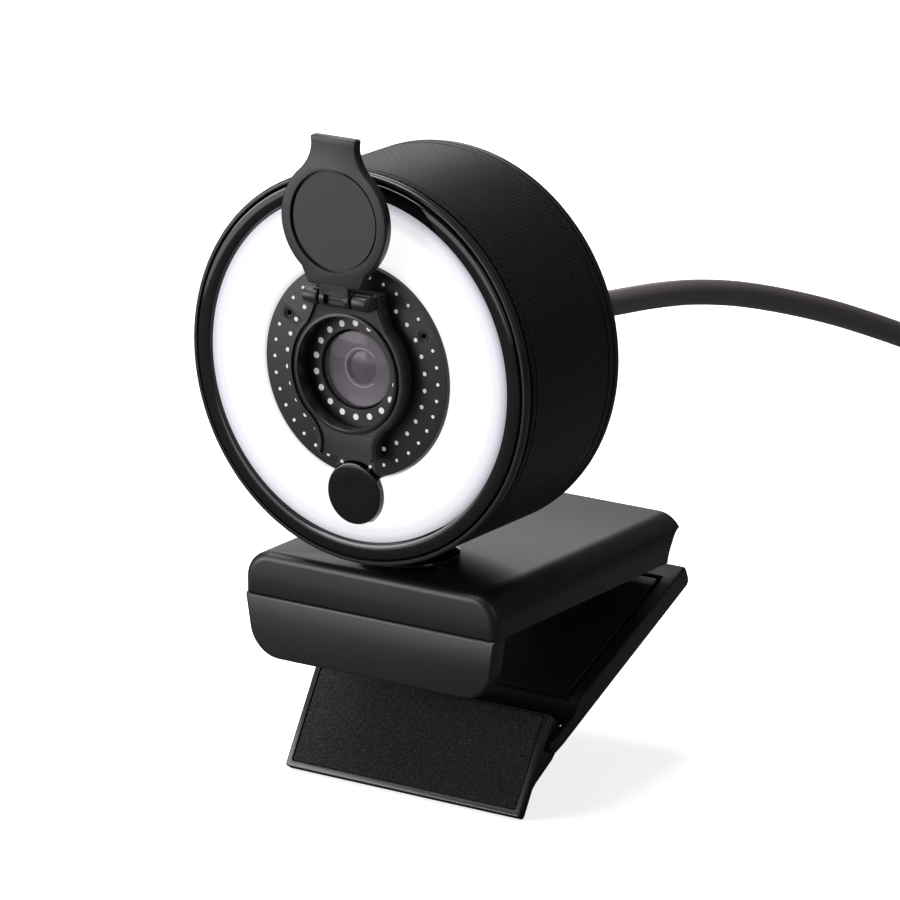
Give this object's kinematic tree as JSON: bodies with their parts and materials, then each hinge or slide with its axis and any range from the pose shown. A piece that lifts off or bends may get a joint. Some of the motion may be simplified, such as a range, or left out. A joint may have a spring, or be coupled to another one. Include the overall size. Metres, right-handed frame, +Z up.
{
  "type": "ring light webcam",
  "caption": "Round webcam with a ring light and a flip-up lens cover, on a swivelling and tilting neck over a folding monitor clip, with its coiled USB cable.",
  "frame": {"origin": "middle of the width of the clip, on the underside of its top plate, where the plate rests on a monitor", "axes": "+Z up; -Y the way the camera looks; +X across the clip"},
  "size_m": [0.0837, 0.2553, 0.1098],
  "materials": {
    "shell": "fine moulded texture",
    "sleeve": "fine diagonal texture",
    "gloss": "polished",
    "panel": "matt with a printed ring of white dots",
    "cover": "satin",
    "diffuser": "opal, lit from behind",
    "white": "plain moulded",
    "glass": "coated",
    "board": "green circuit board",
    "chip": "plain moulded",
    "steel": "zinc plated",
    "brass": "turned",
    "foam": "closed-cell foam",
    "rubber": "plain moulded",
    "cable": "smooth PVC sheath"
  },
  "bodies": {
    "clip": {"clip_top_shell": "shell", "clip_base": "shell", "base_screw_1": "steel", "base_screw_2": "steel", "base_screw_3": "steel", "base_screw_4": "steel", "tripod_insert": "brass", "lip_pad": "foam", "arm_pin": "steel"},
    "neck": {"neck_post": "gloss", "swivel_washer": "steel", "swivel_screw": "steel", "cable_coil": "cable", "cable_tail": "cable", "cable_tie": "rubber", "plug_body": "rubber", "plug_shell": "steel", "plug_tongue": "white"},
    "head": {"drum_shell": "sleeve", "front_bezel": "gloss", "light_diffuser": "diffuser", "light_chamber": "white", "led_board": "board", "centre_panel": "panel", "microphone_left": "steel", "microphone_right": "steel", "lens_window": "glass", "lens_barrel": "chip", "lens_element": "glass", "lens_holder": "chip", "image_sensor": "glass", "camera_board": "board", "main_board": "board", "button_switch": "steel", "rear_cover": "shell", "rear_screw_1": "steel", "rear_screw_2": "steel", "rear_screw_3": "steel", "rear_screw_4": "steel", "strain_relief": "rubber", "tilt_bracket": "steel", "tilt_pin": "steel", "tilt_washer_left": "rubber", "tilt_washer_right": "rubber", "cover_base": "cover", "cover_pin": "steel", "cable_run": "cable"},
    "button": {"touch_button": "gloss"},
    "cover": {"cover_flap": "cover"},
    "arm": {"clip_arm": "shell", "arm_panel": "shell", "foot_pin": "steel"},
    "foot": {"foot_tray": "shell", "foot_pad": "foam"}
  },
  "joints": [
    {"name": "head_swivel", "type": "hinge", "parent": "clip", "child": "neck", "pos_m": [0, -0.0113, 0.007], "axis": [0, 0, 1], "range_deg": [-180, 180]},
    {"name": "head_tilt", "type": "hinge", "parent": "neck", "child": "head", "pos_m": [0, -0.0113, 0.0153], "axis": [1, 0, 0], "range_deg": [-9, 9], "deforming": ["cable_run"]},
    {"name": "cover_flip", "type": "hinge", "parent": "head", "child": "cover", "pos_m": [0, -0.0303, 0.0525], "axis": [1, 0, 0], "range_deg": [0, 180]},
    {"name": "button_press", "type": "slide", "parent": "head", "child": "button", "axis": [0, 1, 0], "range_m": [0, 0.0004], "stiffness_N_per_m": 600},
    {"name": "arm_fold", "type": "hinge", "parent": "clip", "child": "arm", "pos_m": [0, 0.0324, -0.0006], "axis": [1, 0, 0], "range_deg": [-14, 150]},
    {"name": "foot_pivot", "type": "hinge", "parent": "arm", "child": "foot", "pos_m": [0, -0.00463, -0.0218], "axis": [1, 0, 0], "range_deg": [-25, 60]}
  ]
}
